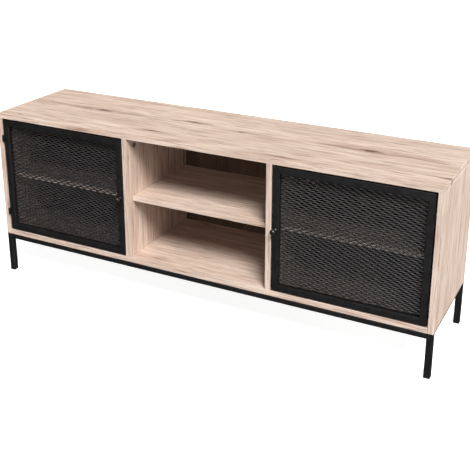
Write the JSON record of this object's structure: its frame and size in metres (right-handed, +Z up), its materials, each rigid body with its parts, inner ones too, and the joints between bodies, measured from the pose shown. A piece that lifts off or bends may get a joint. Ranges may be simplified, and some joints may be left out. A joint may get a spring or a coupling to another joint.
{
  "type": "tv stand with doors",
  "caption": "Low wood-effect tv stand on a black steel tube base, with an open shelved niche between two hinged expanded-mesh doors.",
  "frame": {"origin": "on the floor, at the centre of the whole object's box; its front is the tip of the knobs and its back the back panel", "axes": "+Z up, +X to the right seen from the front, +Y from the front to the back; the doors face -Y"},
  "size_m": [1.4, 0.3624, 0.535],
  "materials": {
    "oak_board": "light oak-effect melamine on particle board, matt with a fine grain",
    "back_sheet": "hardboard, printed dark brown inside and raw outside",
    "black_steel": "black fine-texture powder coat",
    "mesh_steel": "black powder-coated expanded steel",
    "knob_metal": "black satin paint",
    "zinc": "zinc plated",
    "black_plastic": "moulded black plastic",
    "magnet": "sintered ferrite"
  },
  "bodies": {
    "carcass": {"top_panel": "oak_board", "bottom_panel": "oak_board", "left_side_panel": "oak_board", "right_side_panel": "oak_board", "left_divider": "oak_board", "right_divider": "oak_board", "left_shelf": "oak_board", "middle_shelf": "oak_board", "right_shelf": "oak_board", "back_panel": "back_sheet", "front_left_leg": "black_steel", "front_right_leg": "black_steel", "back_left_leg": "black_steel", "back_right_leg": "black_steel", "front_left_glide": "black_plastic", "front_right_glide": "black_plastic", "back_left_glide": "black_plastic", "back_right_glide": "black_plastic", "front_rail": "black_steel", "back_rail": "black_steel", "left_rail": "black_steel", "right_rail": "black_steel", "left_divider_front_cam": "zinc", "left_divider_back_cam": "zinc", "right_divider_front_cam": "zinc", "right_divider_back_cam": "zinc", "middle_shelf_front_left_pin": "zinc", "middle_shelf_front_right_pin": "zinc", "middle_shelf_back_left_pin": "zinc", "middle_shelf_back_right_pin": "zinc", "left_catch_body": "black_plastic", "left_catch_magnet": "magnet", "left_lower_cabinet_leaf": "black_steel", "left_lower_hinge_pin": "black_steel", "left_upper_cabinet_leaf": "black_steel", "left_upper_hinge_pin": "black_steel", "right_catch_body": "black_plastic", "right_catch_magnet": "magnet", "right_lower_cabinet_leaf": "black_steel", "right_lower_hinge_pin": "black_steel", "right_upper_cabinet_leaf": "black_steel", "right_upper_hinge_pin": "black_steel"},
    "left_door": {"left_door_hinge_stile": "black_steel", "left_door_free_stile": "black_steel", "left_door_top_rail": "black_steel", "left_door_bottom_rail": "black_steel", "left_door_mesh": "mesh_steel", "left_knob": "knob_metal", "left_knob_screw": "zinc", "left_lower_door_leaf": "black_steel", "left_upper_door_leaf": "black_steel"},
    "right_door": {"right_door_hinge_stile": "black_steel", "right_door_free_stile": "black_steel", "right_door_top_rail": "black_steel", "right_door_bottom_rail": "black_steel", "right_door_mesh": "mesh_steel", "right_knob": "knob_metal", "right_knob_screw": "zinc", "right_lower_door_leaf": "black_steel", "right_upper_door_leaf": "black_steel"}
  },
  "joints": [
    {"name": "left_door_hinge", "type": "hinge", "parent": "carcass", "child": "left_door", "pos_m": [-0.682, -0.16165, 0.3325], "axis": [0, 0, -1], "range_deg": [0, 180]},
    {"name": "right_door_hinge", "type": "hinge", "parent": "carcass", "child": "right_door", "pos_m": [0.682, -0.16165, 0.3325], "axis": [0, 0, 1], "range_deg": [0, 180]}
  ]
}
